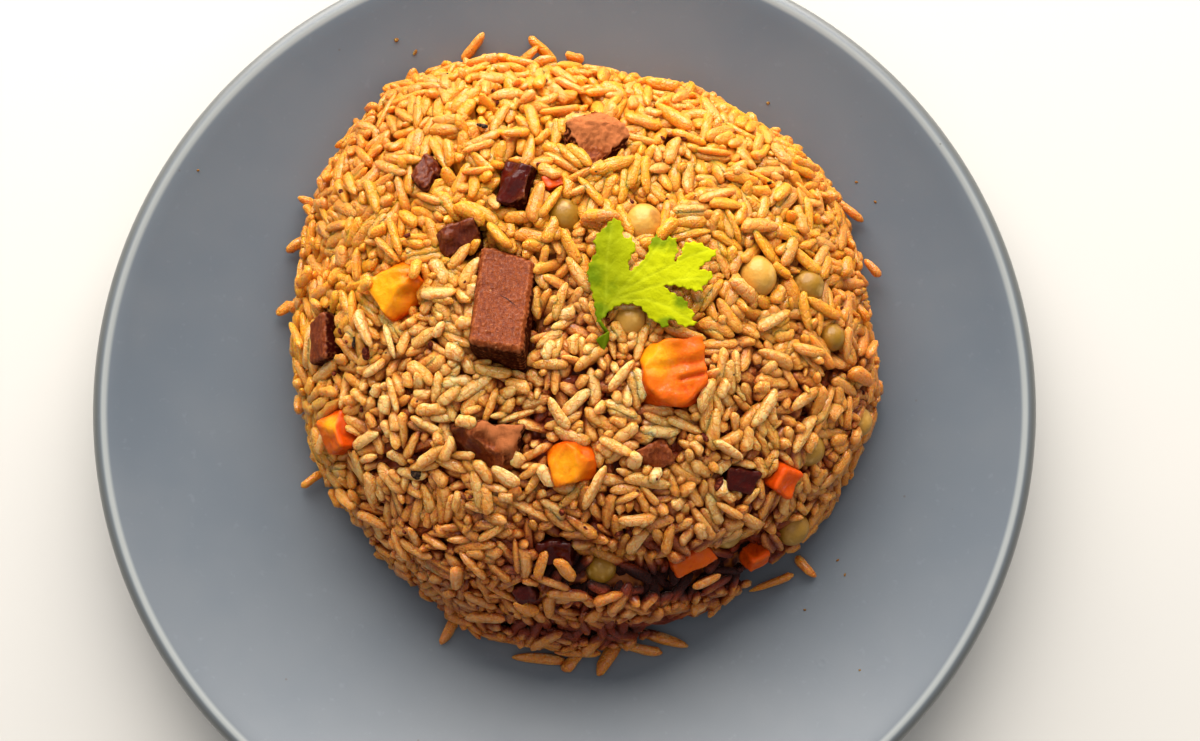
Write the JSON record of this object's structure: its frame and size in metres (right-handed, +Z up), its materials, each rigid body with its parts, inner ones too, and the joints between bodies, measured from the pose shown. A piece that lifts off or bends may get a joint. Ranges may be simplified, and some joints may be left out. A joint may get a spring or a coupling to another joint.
{
  "type": "plate of fried rice",
  "caption": "Dome of fried rice with diced corned beef, carrot and peas and one herb leaf, turned out on a round coupe plate.",
  "frame": {"origin": "middle of the plate's foot, on the surface that it stands on", "axes": "+Z up out of the plate; +Y away from the side the picture was taken from; +X to that side's right"},
  "size_m": [0.21, 0.21, 0.0645],
  "materials": {
    "plate_glaze": "satin",
    "rice": "satin",
    "meat": "satin",
    "carrot": "satin",
    "pea": "satin",
    "herb_leaf": "satin"
  },
  "bodies": {
    "root": {"plate": "plate_glaze", "rice_heap": "rice", "meat_large": "meat", "meat_back": "meat", "meat_dark_mid": "meat", "meat_dark_left": "meat", "meat_small_left": "meat", "meat_front": "meat", "meat_side_left": "meat", "meat_small_front": "meat", "meat_right": "meat", "meat_crack": "meat", "meat_low": "meat", "carrot_left": "carrot", "carrot_large": "carrot", "carrot_front": "carrot", "carrot_side_left": "carrot", "carrot_right": "carrot", "carrot_crack": "carrot", "carrot_low": "carrot", "carrot_back": "carrot", "pea_back_left": "pea", "pea_back": "pea", "pea_right": "pea", "pea_far_right": "pea", "pea_side_right": "pea", "pea_crack_right": "pea", "pea_low_right": "pea", "pea_crack_front": "pea", "pea_small_right": "pea", "pea_under_leaf": "pea", "pea_edge_right": "pea", "leaf": "herb_leaf"}
  },
  "joints": []
}
